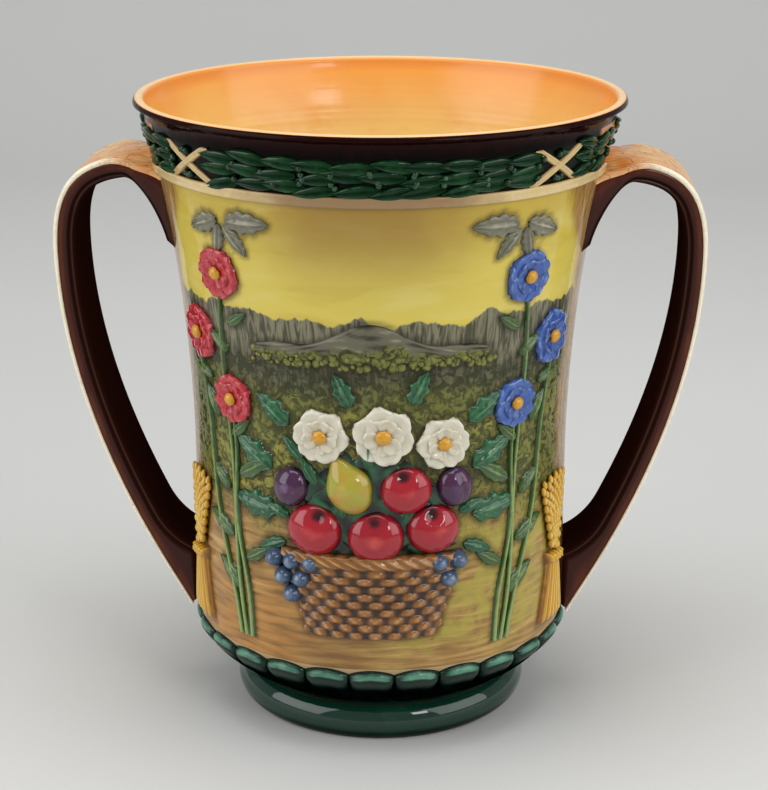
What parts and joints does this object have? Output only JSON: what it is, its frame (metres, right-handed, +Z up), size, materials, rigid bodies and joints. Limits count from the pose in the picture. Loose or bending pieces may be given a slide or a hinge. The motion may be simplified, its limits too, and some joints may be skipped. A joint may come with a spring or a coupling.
{
  "type": "loving cup",
  "caption": "Large two-handled pottery loving cup with a flared lip, laurel band tied with ribbons, relief panels, strap handles, gadrooned base and rolled foot.",
  "frame": {"origin": "centre of the foot, on the surface that the cup stands on", "axes": "+Z up along the axis of the cup, X through both handles, -Y towards the front panel"},
  "size_m": [0.2708, 0.2036, 0.265],
  "materials": {
    "honey_glaze": "gloss",
    "green_glaze": "gloss",
    "laurel_glaze": "gloss",
    "cream_glaze": "gloss",
    "treacle_glaze": "gloss",
    "strap_glaze": "gloss",
    "stone_glaze": "gloss",
    "ochre_glaze": "gloss",
    "straw_glaze": "gloss",
    "fruit_glaze": "gloss",
    "leaf_glaze": "gloss",
    "ivory_glaze": "gloss",
    "red_glaze": "gloss",
    "blue_glaze": "gloss"
  },
  "bodies": {
    "root": {"body": "honey_glaze", "foot": "green_glaze", "gadroon_collar": "green_glaze", "neck_moulding_front": "cream_glaze", "neck_moulding_back": "cream_glaze", "garland_front": "laurel_glaze", "garland_back": "laurel_glaze", "garland_front_left": "laurel_glaze", "garland_front_right": "laurel_glaze", "garland_back_left": "laurel_glaze", "garland_back_right": "laurel_glaze", "ribbon_front_left": "cream_glaze", "ribbon_front_right": "cream_glaze", "ribbon_back_left": "cream_glaze", "ribbon_back_right": "cream_glaze", "handle_left": "treacle_glaze", "handle_right": "treacle_glaze", "strap_left": "strap_glaze", "strap_right": "strap_glaze", "hills_front": "stone_glaze", "basket_front": "ochre_glaze", "fruit_front": "fruit_glaze", "vine_leaves_front": "leaf_glaze", "pale_flowers_front": "ivory_glaze", "red_spray_front": "red_glaze", "blue_spray_front": "blue_glaze", "sheaves_front": "straw_glaze", "corner_leaves_front": "stone_glaze", "hills_back": "stone_glaze", "basket_back": "ochre_glaze", "fruit_back": "fruit_glaze", "vine_leaves_back": "leaf_glaze", "pale_flowers_back": "ivory_glaze", "red_spray_back": "red_glaze", "blue_spray_back": "blue_glaze", "sheaves_back": "straw_glaze", "corner_leaves_back": "stone_glaze"}
  },
  "joints": []
}
